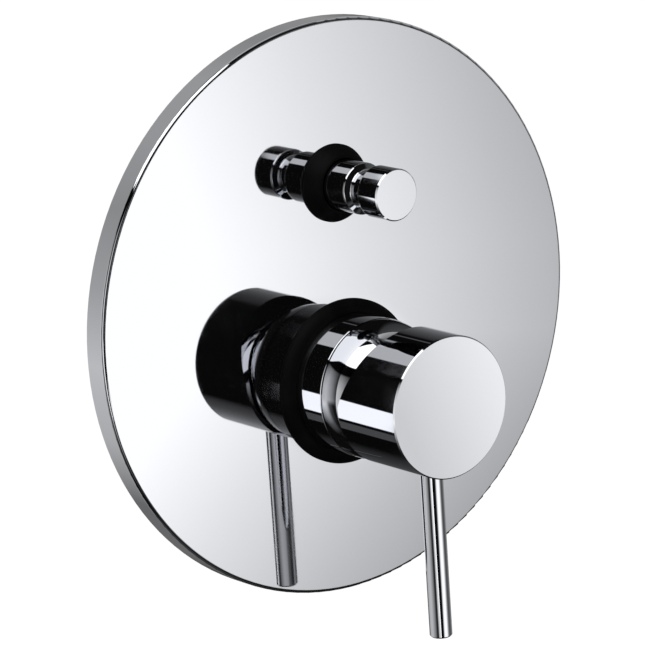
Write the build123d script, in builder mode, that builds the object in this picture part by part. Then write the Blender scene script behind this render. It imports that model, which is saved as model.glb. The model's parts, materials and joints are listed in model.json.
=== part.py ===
from build123d import *
import os
from math import acos, asin, cos, degrees, radians, sin, sqrt, tan

os.makedirs("parts", exist_ok=True)

# Concealed single-lever shower mixer with a pull diverter, built into a wall. Millimetres.
# The origin is the centre of the wall plate on the finished wall. +Z is up and the front faces -Y.
# "Out" is a distance from the finished wall into the room, and "depth" is a distance into the wall.

# Clearances
fit_clearance = 0.05
loose_clearance = 0.3
face_clearance = 0.1

# Wall plate
plate_diameter = 180.0
plate_depth = 8.0
plate_wall = 1.5
plate_edge_radius = 1.2
plate_seal_width = 4.0
mixer_drop = 23.4
diverter_rise = 39.4

# Rubber collars on the plate
collar_lip_width = 1.2
collar_lip_thickness = 1.2
collar_spigot_wall = 0.9
collar_edge = 0.6
collar_tip = 0.7
collar_crown = 0.35
mixer_collar_flare = 3.9
mixer_collar_height = 2.8
diverter_collar_flare = 3.8
diverter_collar_height = 5.0

# Cartridge, and outward from it the nut, the body's collar and the sleeve
cartridge_diameter = 35.0
cartridge_wall = 1.8
nut_thread_step = 0.95
body_collar_wall = 1.7
sleeve_wall = 1.5
sleeve_reach = 14.7
sleeve_tail = 6.5
sleeve_chamfer = 0.15

# Cartridge stack, from the spindle's pivot back to the chamber floor
neck_reach = 4.5
neck_wall = 2.2
shoulder_setback = 8.5
housing_top_wall = 2.0
collar_flange_thickness = 1.8
collar_flange_overhang = 2.2
carrier_thickness = 4.4
moving_disc_thickness = 4.0
fixed_disc_thickness = 4.5
base_boss = 1.4
base_flange = 4.0
seal_stand = 0.8

# Spindle and its collar
lift_angle = 24.0
turn_angle = 50.0
spindle_square = 8.0
spindle_edge_chamfer = 0.6
spindle_hub_radius = 4.5
spindle_hub_width = 9.0
spindle_pin_diameter = 4.0
spindle_arm = 9.0
spindle_tip_radius = 2.4
tongue_width = 5.0
tongue_thickness = 3.0
collar_radius = 11.8
collar_slot_length = 18.4
stop_tab_width = 7.0
stop_tab_height = 1.3
stop_rib_width = 3.0
stop_rib_height = 1.2
stop_play_angle = 1.0

# Ceramic discs and the cartridge's ports
disc_edge_gap = 0.4
pocket_radius = 5.2
pocket_depth = 2.0
inlet_port_radius = 2.6
inlet_port_circle = 8.6
inlet_port_angle = 45.0
outlet_port_radius = 3.4
outlet_port_rise = 1.5
key_wall = 2.0
key_reach = 6.1
key_socket_depth = 5.7
drive_peg_diameter = 2.6
drive_peg_length = 1.8
drive_peg_circle = 9.0
base_peg_diameter = 3.0
base_peg_length = 2.5
base_peg_circle = 13.0
base_peg_start_angle = 30.0
base_peg_spread_angle = 120.0
seal_wall = 1.1
seal_seat_depth = 1.0

# Cartridge nut and dome cap
nut_thread_length = 5.0
nut_head_length = 4.3
nut_slot_width = 3.0
nut_slot_length = 2.7
nut_slot_depth = 2.0
nut_slot_count = 4
cap_skirt_length = 3.0
cap_skirt_wall = 1.15
cap_relief_width = 0.6
cap_relief_depth = 0.6
dome_step = 0.2
dome_wall = 1.8
dome_opening_radius = 14.2

# Handle, lever and grub screw
handle_gap = 8.3
handle_reach = 50.2
handle_bevel = 0.4
handle_dome_clearance = 0.6
handle_front_wall = 3.5
spindle_end_gap = 0.5
lever_diameter = 7.0
lever_length = 52.5
lever_setback = 11.2
lever_seat_depth = 2.0
lever_end_chamfer = 0.5
lever_thread_diameter = 6.0
lever_thread_length = 8.0
grub_screw_length = 6.0
grub_key_size = 3.0
grub_key_depth = 3.0

# Body casting
barrel_wall = 4.95
barrel_setback = 3.5
casting_fillet = 2.5
floor_wall = 6.4
casting_wall = 3.5
o_ring_section = 1.75
sleeve_ring_out = 6.0
inlet_passage_radius = 6.5
inlet_passage_gap = 10.0
passage_wall = 1.2
supply_radius = 4.8
duct_radius = 6.0
upper_passage_radius = 4.5
port_bore_radius = 9.3
port_bore_length = 14.0
port_hexagon_flats = 28.0
port_hexagon_length = 15.0
port_face_setback = 0.5
inlet_reach = 60.0
upper_port_clearance = 0.75
lower_outlet_reach = 86.0
lug_spacing = 60.0
lug_width = 16.0
lug_thickness = 5.0
lug_hole_diameter = 5.5

# Diverter
diverter_knob_diameter = 16.0
knob_reach = 30.4
knob_bevel = 0.4
knob_rear_gap = 1.5
knob_wall = 1.4
knob_thread_length = 12.0
groove_start = 14.7
groove_width = 6.8
groove_depth = 2.0
groove_flank = 1.1
groove_edge_radius = 0.5
nose_length = 19.0
bonnet_wall = 3.1
bonnet_flats = 24.0
bonnet_flange = 4.0
bonnet_seal_thickness = 1.0
bonnet_thread_length = 7.0
bonnet_thread_step = 1.05
diverter_barrel_wall = 4.5
seat_sleeve_radius = 9.9
seat_sleeve_wall = 1.5
seat_sleeve_length = 12.0
seat_lip = 2.0
seat_hole_radius = 6.0
seat_step = 0.9
window_setback = 5.0
window_radius = 3.6
valve_room_length = 11.0
valve_radius = 7.6
valve_thickness = 2.0
washer_thickness = 0.9
back_seat_wall = 2.0
diverter_spindle_diameter = 6.0
spindle_tail_diameter = 4.0
valve_nut_flats = 6.5
valve_nut_thickness = 2.5
spring_wire = 0.9
spring_radius = 4.4
spring_turns = 7
spindle_ring_section = 1.44
spindle_ring_pitch = 4.0

# Radii from the cartridge outward: the handle and the dome follow the sleeve
cartridge_radius = cartridge_diameter / 2
chamber_radius = cartridge_radius + fit_clearance
nut_thread_radius = cartridge_radius + nut_thread_step
body_thread_radius = nut_thread_radius + fit_clearance
body_collar_radius = body_thread_radius + body_collar_wall
sleeve_bore_radius = body_collar_radius + loose_clearance
sleeve_radius = sleeve_bore_radius + sleeve_wall
handle_radius = sleeve_radius
dome_radius = sleeve_radius - dome_step
dome_bore_radius = dome_radius - dome_wall
cap_relief_radius = dome_radius - cap_relief_depth
cap_skirt_radius = sleeve_bore_radius - fit_clearance
cap_thread_radius = cap_skirt_radius - cap_skirt_wall
nut_head_radius = cap_thread_radius - fit_clearance
barrel_radius = chamber_radius + barrel_wall
housing_bore_radius = cartridge_radius - cartridge_wall

# Places along the mixer's axis, as distances out from the finished wall
plate_skin_back = plate_depth - plate_wall
pivot_out = plate_depth + sleeve_reach
sleeve_rear_out = plate_depth - sleeve_tail
neck_front_out = pivot_out + neck_reach
shoulder_out = pivot_out - shoulder_setback
ceiling_out = shoulder_out - housing_top_wall
collar_flange_front = ceiling_out - face_clearance
collar_flange_rear = collar_flange_front - collar_flange_thickness
carrier_front = collar_flange_rear - 2 * face_clearance
carrier_rear = carrier_front - carrier_thickness
moving_disc_rear = carrier_rear - moving_disc_thickness
fixed_disc_front = moving_disc_rear - face_clearance
fixed_disc_rear = fixed_disc_front - fixed_disc_thickness
housing_rear = fixed_disc_rear - base_boss
base_rear = housing_rear - base_flange
floor_out = base_rear - seal_stand
body_collar_front = shoulder_out + nut_thread_length
nut_front = body_collar_front + nut_head_length
handle_rear_out = pivot_out + handle_gap
handle_front_out = plate_depth + handle_reach
handle_cavity_radius = dome_radius + handle_dome_clearance
socket_end_out = handle_front_out - handle_front_wall
lever_out = handle_front_out - lever_setback
barrel_front_out = sleeve_rear_out - barrel_setback
mixer_z = -mixer_drop
diverter_z = diverter_rise

# The upper port stands clear of the bonnet's corners as it is screwed in
bonnet_corner_radius = bonnet_flats / sqrt(3)
upper_port_foot = diverter_z + bonnet_corner_radius + upper_port_clearance
upper_outlet_reach = upper_port_foot + port_hexagon_length

# Places in the wall, as depths behind the finished wall
floor_depth = -floor_out
inlet_depth = floor_depth + floor_wall + inlet_passage_radius
supply_depth = inlet_depth + inlet_passage_radius + passage_wall + supply_radius
barrel_back_depth = supply_depth + supply_radius + casting_wall
seat_rear_depth = supply_depth - valve_room_length / 2
back_seat_depth = supply_depth + valve_room_length / 2
seat_front_depth = seat_rear_depth - seat_sleeve_length
window_depth = seat_rear_depth - seat_lip - window_setback
diverter_front_depth = seat_front_depth - bonnet_thread_length
bonnet_flange_rear = diverter_front_depth - bonnet_seal_thickness
bonnet_flange_front = bonnet_flange_rear - bonnet_flange
nose_front_out = nose_length - bonnet_flange_front
knob_rear_out = knob_rear_gap - bonnet_flange_front
knob_front_out = plate_depth + knob_reach
duct_depth = back_seat_depth + back_seat_wall + duct_radius
body_back_depth = duct_depth + duct_radius + casting_wall

# The disc slides by disc_travel while the handle lifts, and is centred half way along it
disc_travel = spindle_arm * sin(radians(lift_angle))
disc_offset = disc_travel / 2
moving_disc_radius = housing_bore_radius - disc_edge_gap - disc_offset
inlet_port_offset = inlet_port_circle * cos(radians(inlet_port_angle))

from_plane = (Align.CENTER, Align.CENTER, Align.MIN)
to_plane = (Align.CENTER, Align.CENTER, Align.MAX)


def section(axis_z):
    return Plane(origin=(0, 0, axis_z), x_dir=(1, 0, 0), z_dir=(0, 0, -1))


def turning(axis_z):
    return Axis((0, 0, axis_z), (0, -1, 0))


def across(out, axis_z, x=0.0):
    return Plane(origin=(x, -out, axis_z), x_dir=(1, 0, 0), z_dir=(0, -1, 0))


def sideways(x, out, z, right=1):
    return Plane(origin=(x, -out, z), x_dir=(0, 1, 0), z_dir=(right, 0, 0))


def upright(z, out, up=1):
    return Plane(origin=(0, -out, z), x_dir=(1, 0, 0), z_dir=(0, 0, up))


def save(builder, name):
    builder.part.label = name
    export_step(builder.part, f"parts/{name}.step")


def ball_point(radius, angle):
    return (radius * cos(angle), pivot_out + radius * sin(angle))


# Rubber collar: grommet in the plate's hole with a flared skirt on the plate's front
def rubber_collar(bore_radius, hole_radius, flare, height, axis_z):
    foot_radius = bore_radius + flare
    tip_radius = bore_radius + collar_tip
    foot = (foot_radius, plate_depth + collar_edge)
    tip = (tip_radius, plate_depth + height)
    run = foot_radius - tip_radius
    rise = height - collar_edge
    slope = sqrt(run * run + rise * rise)
    crown = (
        (foot[0] + tip[0]) / 2 + collar_crown * rise / slope,
        (foot[1] + tip[1]) / 2 + collar_crown * run / slope,
    )
    spigot_radius = hole_radius - fit_clearance
    lip_radius = hole_radius + collar_lip_width
    lip_rear = plate_skin_back - collar_lip_thickness
    with BuildPart() as collar:
        with BuildSketch(section(axis_z)):
            with BuildLine():
                Polyline(
                    tip,
                    (bore_radius, plate_depth + height),
                    (bore_radius, lip_rear),
                    (lip_radius, lip_rear),
                    (lip_radius, plate_skin_back),
                    (spigot_radius, plate_skin_back),
                    (spigot_radius, plate_depth),
                    (foot_radius, plate_depth),
                    foot,
                )
                ThreePointArc(foot, crown, tip)
            make_face()
        revolve(axis=turning(axis_z))
    return collar


mixer_collar_bore = sleeve_radius + fit_clearance
mixer_hole_radius = mixer_collar_bore + collar_spigot_wall
diverter_knob_radius = diverter_knob_diameter / 2
diverter_collar_bore = diverter_knob_radius + loose_clearance
diverter_hole_radius = diverter_collar_bore + collar_spigot_wall

# Wall plate: a drawn cup with a straight rim and two holes
with BuildPart() as wall_plate:
    plate_radius = plate_diameter / 2
    with BuildSketch(across(0, 0)):
        Circle(plate_radius)
    extrude(amount=plate_depth)
    fillet(wall_plate.edges().sort_by(Axis.Y)[0], plate_edge_radius)
    with BuildSketch(across(0, 0)):
        Circle(plate_radius - plate_wall)
    extrude(amount=plate_skin_back, mode=Mode.SUBTRACT)
    with Locations(across(0, mixer_z)):
        Cylinder(mixer_hole_radius, plate_depth, align=from_plane, mode=Mode.SUBTRACT)
    with Locations(across(0, diverter_z)):
        Cylinder(diverter_hole_radius, plate_depth, align=from_plane, mode=Mode.SUBTRACT)
save(wall_plate, "wall_plate")

# Foam ring inside the plate's rim, level with the rim at the wall
with BuildPart() as plate_seal:
    seal_outer_radius = plate_radius - plate_wall - face_clearance
    with BuildSketch(across(0, 0)):
        Circle(seal_outer_radius)
        Circle(seal_outer_radius - plate_seal_width, mode=Mode.SUBTRACT)
    extrude(amount=plate_skin_back)
save(plate_seal, "plate_seal")

mixer_gasket = rubber_collar(
    mixer_collar_bore, mixer_hole_radius, mixer_collar_flare, mixer_collar_height, mixer_z
)
save(mixer_gasket, "mixer_gasket")

diverter_gasket = rubber_collar(
    diverter_collar_bore, diverter_hole_radius, diverter_collar_flare, diverter_collar_height, diverter_z
)
save(diverter_gasket, "diverter_gasket")

# Sleeve: turned tube over the body's collar
with BuildPart() as sleeve:
    with BuildSketch(across(sleeve_rear_out, mixer_z)):
        Circle(sleeve_radius)
        Circle(sleeve_bore_radius, mode=Mode.SUBTRACT)
    extrude(amount=pivot_out - sleeve_rear_out)
    front_edges = sleeve.edges().group_by(Axis.Y)[0]
    chamfer(front_edges.sort_by(SortBy.RADIUS)[-1], sleeve_chamfer)
save(sleeve, "sleeve")

# Dome cap: a ball-shaped shell round the pivot, screwed on the cartridge nut over the sleeve's end.
# A narrow relief at its foot leaves a dark line between the cap and the sleeve
with BuildPart() as dome_cap:
    bore_angle = acos(cap_thread_radius / dome_bore_radius)
    relief_angle = asin(cap_relief_width / dome_radius)
    outer_angle = acos(dome_opening_radius / dome_radius)
    inner_angle = acos(dome_opening_radius / dome_bore_radius)
    skirt_rear = pivot_out - cap_skirt_length
    with BuildSketch(section(mixer_z)):
        with BuildLine():
            Polyline(
                ball_point(dome_bore_radius, bore_angle),
                (cap_thread_radius, skirt_rear),
                (cap_skirt_radius, skirt_rear),
                (cap_skirt_radius, pivot_out),
                (cap_relief_radius, pivot_out),
                (cap_relief_radius, pivot_out + cap_relief_width),
                ball_point(dome_radius, relief_angle),
            )
            ThreePointArc(
                ball_point(dome_radius, relief_angle),
                ball_point(dome_radius, (relief_angle + outer_angle) / 2),
                ball_point(dome_radius, outer_angle),
            )
            Line(ball_point(dome_radius, outer_angle), ball_point(dome_bore_radius, inner_angle))
            ThreePointArc(
                ball_point(dome_bore_radius, inner_angle),
                ball_point(dome_bore_radius, (inner_angle + bore_angle) / 2),
                ball_point(dome_bore_radius, bore_angle),
            )
        make_face()
    revolve(axis=turning(mixer_z))
save(dome_cap, "dome_cap")

# Handle: a solid cylinder hollowed to clear the dome, its rear cut back above the axis for the lift
with BuildPart() as handle:
    with BuildSketch(across(handle_rear_out, mixer_z)):
        Circle(handle_radius)
    extrude(amount=handle_front_out - handle_rear_out)
    chamfer(handle.edges().sort_by(Axis.Y)[0], handle_bevel)
    with Locations((0, -pivot_out, mixer_z)):
        Sphere(handle_cavity_radius, mode=Mode.SUBTRACT)
    cut_height = handle_radius + handle_gap
    with BuildSketch(Plane.YZ):
        with BuildLine():
            Polyline(
                (-handle_rear_out, mixer_z),
                (-handle_rear_out, mixer_z + cut_height),
                (-handle_rear_out - cut_height * tan(radians(lift_angle)), mixer_z + cut_height),
                close=True,
            )
        make_face()
    extrude(amount=cut_height, both=True, mode=Mode.SUBTRACT)
    with BuildSketch(across(pivot_out, mixer_z)):
        Rectangle(spindle_square + 2 * fit_clearance, spindle_square + 2 * fit_clearance)
    extrude(amount=socket_end_out - pivot_out, mode=Mode.SUBTRACT)
    lever_thread_radius = lever_thread_diameter / 2
    with Locations(upright(mixer_z, lever_out, -1)):
        Cylinder(
            lever_thread_radius + fit_clearance, handle_radius, align=from_plane, mode=Mode.SUBTRACT
        )
    lever_seat = handle_radius - lever_seat_depth
    with Locations(upright(mixer_z - lever_seat, lever_out, -1)):
        Cylinder(
            lever_diameter / 2 + fit_clearance, lever_seat, align=from_plane, mode=Mode.SUBTRACT
        )
save(handle, "handle")

# Lever: plain rod with a threaded end, screwed into the underside of the handle
with BuildPart() as lever:
    with Locations(upright(mixer_z - lever_seat, lever_out, -1)):
        Cylinder(lever_diameter / 2, lever_seat_depth + lever_length, align=from_plane)
    chamfer(lever.edges().sort_by(Axis.Z)[0], lever_end_chamfer)
    with Locations(upright(mixer_z - lever_seat, lever_out)):
        Cylinder(lever_thread_radius, lever_thread_length, align=from_plane)
save(lever, "lever")

# Grub screw: bears on the spindle's flat, above the lever's thread
with BuildPart() as grub_screw:
    with Locations(upright(mixer_z - spindle_square / 2, lever_out, -1)):
        Cylinder(lever_thread_radius, grub_screw_length, align=from_plane)
    with BuildSketch(upright(mixer_z - spindle_square / 2 - grub_screw_length, lever_out)):
        RegularPolygon(grub_key_size / 2, 6, major_radius=False)
    extrude(amount=grub_key_depth, mode=Mode.SUBTRACT)
save(grub_screw, "grub_screw")

# Lever spindle: square stem, hub on the cross pin and a tongue with a round tip
pin_radius = spindle_pin_diameter / 2
spindle_end_out = socket_end_out - spindle_end_gap
with BuildPart() as lever_spindle:
    with BuildSketch(across(pivot_out, mixer_z)):
        Rectangle(spindle_square, spindle_square)
        chamfer(vertices(), spindle_edge_chamfer)
    extrude(amount=spindle_end_out - pivot_out)
    with Locations(sideways(-spindle_hub_width / 2, pivot_out, mixer_z)):
        Cylinder(spindle_hub_radius, spindle_hub_width, align=from_plane)
    with BuildSketch(across(pivot_out - spindle_arm, mixer_z)):
        Rectangle(tongue_width, tongue_thickness)
    extrude(amount=spindle_arm)
    with Locations(sideways(-tongue_width / 2, pivot_out - spindle_arm, mixer_z)):
        Cylinder(spindle_tip_radius, tongue_width, align=from_plane)
    with Locations(sideways(-spindle_hub_width / 2, pivot_out, mixer_z)):
        Cylinder(pin_radius + fit_clearance, spindle_hub_width, align=from_plane, mode=Mode.SUBTRACT)
save(lever_spindle, "lever_spindle")

# Spindle collar: turns in the housing's neck, slotted for the spindle and the carrier's key
collar_flange_radius = collar_radius + collar_flange_overhang
collar_front_out = neck_front_out + loose_clearance
slot_width = spindle_hub_width + loose_clearance
with BuildPart() as spindle_collar:
    with Locations(across(collar_flange_rear, mixer_z)):
        Cylinder(collar_radius, collar_front_out - collar_flange_rear, align=from_plane)
        Cylinder(collar_flange_radius, collar_flange_thickness, align=from_plane)
    with BuildSketch(across(collar_flange_rear, mixer_z)):
        with Locations((0, collar_flange_radius)):
            Rectangle(stop_tab_width, 2 * stop_tab_height)
    extrude(amount=collar_flange_thickness)
    with BuildSketch(across(collar_flange_rear, mixer_z)):
        Rectangle(slot_width, collar_slot_length)
    extrude(amount=collar_front_out - collar_flange_rear, mode=Mode.SUBTRACT)
    with Locations(sideways(-collar_radius, pivot_out, mixer_z)):
        Cylinder(pin_radius + fit_clearance, 2 * collar_radius, align=from_plane, mode=Mode.SUBTRACT)
save(spindle_collar, "spindle_collar")

with BuildPart() as spindle_pin:
    pin_half_length = collar_radius - loose_clearance
    with Locations(sideways(-pin_half_length, pivot_out, mixer_z)):
        Cylinder(pin_radius, 2 * pin_half_length, align=from_plane)
save(spindle_pin, "spindle_pin")

# Cartridge housing: cup with a neck for the collar and two ribs that stop its turn
with BuildPart() as cartridge_housing:
    neck_bore_radius = collar_radius + fit_clearance
    with BuildSketch(section(mixer_z)):
        with BuildLine():
            Polyline(
                (neck_bore_radius, neck_front_out),
                (neck_bore_radius + neck_wall, neck_front_out),
                (neck_bore_radius + neck_wall, shoulder_out),
                (cartridge_radius, shoulder_out),
                (cartridge_radius, housing_rear),
                (housing_bore_radius, housing_rear),
                (housing_bore_radius, ceiling_out),
                (neck_bore_radius, ceiling_out),
                close=True,
            )
        make_face()
    revolve(axis=turning(mixer_z))
    stop_half_widths = (stop_tab_width + stop_rib_width) / 2
    rib_angle = turn_angle + stop_play_angle + degrees(stop_half_widths / collar_flange_radius)
    with BuildSketch(across(collar_flange_rear, mixer_z)):
        for side in (-1, 1):
            with PolarLocations(housing_bore_radius, 1, start_angle=90 + side * rib_angle):
                Rectangle(2 * stop_rib_height, stop_rib_width)
    extrude(amount=ceiling_out - collar_flange_rear)
save(cartridge_housing, "cartridge_housing")

# Disc carrier: round plate with a key that slides in the collar's slot and takes the spindle's tip
key_length = 2 * (spindle_tip_radius + loose_clearance + key_wall)
with BuildPart() as disc_carrier:
    with Locations(across(carrier_rear, mixer_z + disc_offset)):
        Cylinder(moving_disc_radius, carrier_thickness, align=from_plane)
    with BuildSketch(across(carrier_front, mixer_z)):
        Rectangle(spindle_hub_width, key_length)
    extrude(amount=key_reach)
    socket_size = 2 * (spindle_tip_radius + loose_clearance)
    with BuildSketch(across(carrier_front + key_reach, mixer_z)):
        Rectangle(tongue_width + 2 * loose_clearance, socket_size)
    extrude(amount=-key_socket_depth, mode=Mode.SUBTRACT)
    with Locations(across(carrier_rear, mixer_z + disc_offset)):
        with PolarLocations(drive_peg_circle, 2):
            Cylinder(drive_peg_diameter / 2, drive_peg_length, align=to_plane)
save(disc_carrier, "disc_carrier")

# Moving disc: its pocket joins the ports of the fixed disc
with BuildPart() as moving_disc:
    with Locations(across(moving_disc_rear, mixer_z + disc_offset)):
        Cylinder(moving_disc_radius, moving_disc_thickness, align=from_plane)
    with Locations(across(moving_disc_rear, mixer_z)):
        Cylinder(pocket_radius, pocket_depth, align=from_plane, mode=Mode.SUBTRACT)
    with Locations(across(carrier_rear - drive_peg_length, mixer_z + disc_offset)):
        with PolarLocations(drive_peg_circle, 2):
            Cylinder(
                drive_peg_diameter / 2 + fit_clearance,
                drive_peg_length,
                align=from_plane,
                mode=Mode.SUBTRACT,
            )
save(moving_disc, "moving_disc")

# Ports of the cartridge: hot and cold below the axis, mixed water near the middle
ports = [
    (-inlet_port_offset, -inlet_port_offset, inlet_port_radius),
    (inlet_port_offset, -inlet_port_offset, inlet_port_radius),
    (0, outlet_port_rise, outlet_port_radius),
]

with BuildPart() as fixed_disc:
    with BuildSketch(across(fixed_disc_rear, mixer_z)):
        Circle(housing_bore_radius - disc_edge_gap)
        for x, z, radius in ports:
            with Locations((x, z)):
                Circle(radius, mode=Mode.SUBTRACT)
    extrude(amount=fixed_disc_thickness)
save(fixed_disc, "fixed_disc")


def base_peg_places():
    return PolarLocations(
        base_peg_circle,
        2,
        start_angle=base_peg_start_angle,
        angular_range=base_peg_spread_angle,
        endpoint=True,
    )


# Cartridge base: closes the housing, with seats for the port seals and two locating pegs
with BuildPart() as cartridge_base:
    with Locations(across(base_rear, mixer_z)):
        Cylinder(cartridge_radius, base_flange, align=from_plane)
        Cylinder(housing_bore_radius - loose_clearance, base_flange + base_boss, align=from_plane)
    with Locations(across(base_rear, mixer_z)):
        with base_peg_places():
            Cylinder(base_peg_diameter / 2, base_peg_length, align=to_plane)
    for x, z, radius in ports:
        with Locations(across(base_rear, mixer_z + z, x)):
            Cylinder(radius, base_flange + base_boss, align=from_plane, mode=Mode.SUBTRACT)
            Cylinder(
                radius + seal_wall + fit_clearance, seal_seat_depth, align=from_plane, mode=Mode.SUBTRACT
            )
save(cartridge_base, "cartridge_base")

# Seals: one rubber ring round each port, from its seat to the chamber floor
with BuildPart() as base_seals:
    for x, z, radius in ports:
        with BuildSketch(across(floor_out, mixer_z + z, x)):
            Circle(radius + seal_wall)
            Circle(radius, mode=Mode.SUBTRACT)
        extrude(amount=seal_stand + seal_seat_depth)
save(base_seals, "base_seals")

# Cartridge nut: threaded into the body's collar, its head carries the dome cap
with BuildPart() as cartridge_nut:
    nut_bore_radius = neck_bore_radius + neck_wall + loose_clearance
    with Locations(across(shoulder_out, mixer_z)):
        Cylinder(nut_thread_radius, nut_thread_length, align=from_plane)
    with Locations(across(body_collar_front, mixer_z)):
        Cylinder(nut_head_radius, nut_head_length, align=from_plane)
    with Locations(across(shoulder_out, mixer_z)):
        Cylinder(
            nut_bore_radius, nut_front - shoulder_out, align=from_plane, mode=Mode.SUBTRACT
        )
    with BuildSketch(across(nut_front, mixer_z)):
        with PolarLocations(nut_bore_radius, nut_slot_count):
            Rectangle(2 * nut_slot_length, nut_slot_width)
    extrude(amount=-nut_slot_depth, mode=Mode.SUBTRACT)
save(cartridge_nut, "cartridge_nut")

# Body casting: mixer barrel and collar, diverter barrel, supply duct, back duct, four ports and lugs
seat_pocket_radius = seat_sleeve_radius + fit_clearance
bonnet_thread_radius = seat_sleeve_radius + bonnet_thread_step
bonnet_bore_radius = bonnet_thread_radius + fit_clearance
diverter_barrel_radius = bonnet_bore_radius + diverter_barrel_wall
valve_room_radius = seat_sleeve_radius - seat_step
sleeve_groove_radius = sleeve_bore_radius - fit_clearance - o_ring_section
upper_arm_radius = upper_passage_radius + casting_wall
duct_outer_radius = duct_radius + casting_wall
bend_top = Vector(0, duct_depth, mixer_z - barrel_radius + casting_wall)
bend_foot = Vector(0, inlet_depth, port_bore_length - lower_outlet_reach)
lug_z = (diverter_z + mixer_z) / 2
port_face_radius = port_hexagon_flats / 2 - port_face_setback
port_corner_radius = port_hexagon_flats / sqrt(3)
port_planes = (
    sideways(inlet_reach, -inlet_depth, mixer_z),
    sideways(-inlet_reach, -inlet_depth, mixer_z, -1),
    upright(upper_outlet_reach, -window_depth),
    upright(-lower_outlet_reach, -inlet_depth, -1),
)


def duct(radius, start, end, mode):
    run = end - start
    with Locations(Plane(origin=start, z_dir=run)):
        Cylinder(radius, run.length, align=from_plane, mode=mode)
    with Locations(start, end):
        Sphere(radius, mode=mode)


def port_hexagon(plane):
    with BuildSketch(plane) as outline:
        RegularPolygon(port_hexagon_flats / 2, 6, major_radius=False)
    return outline.sketch


# Ring that is turned off the corners of a port's hexagon, so that its end face is round
def port_corner_ring(plane):
    with BuildSketch(Plane(origin=plane.origin, x_dir=plane.x_dir, z_dir=-plane.y_dir)) as ring:
        with BuildLine():
            Polyline(
                (port_face_radius, 0),
                (port_corner_radius, 0),
                (port_corner_radius, port_face_radius - port_corner_radius),
                close=True,
            )
        make_face()
    return ring.sketch


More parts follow.
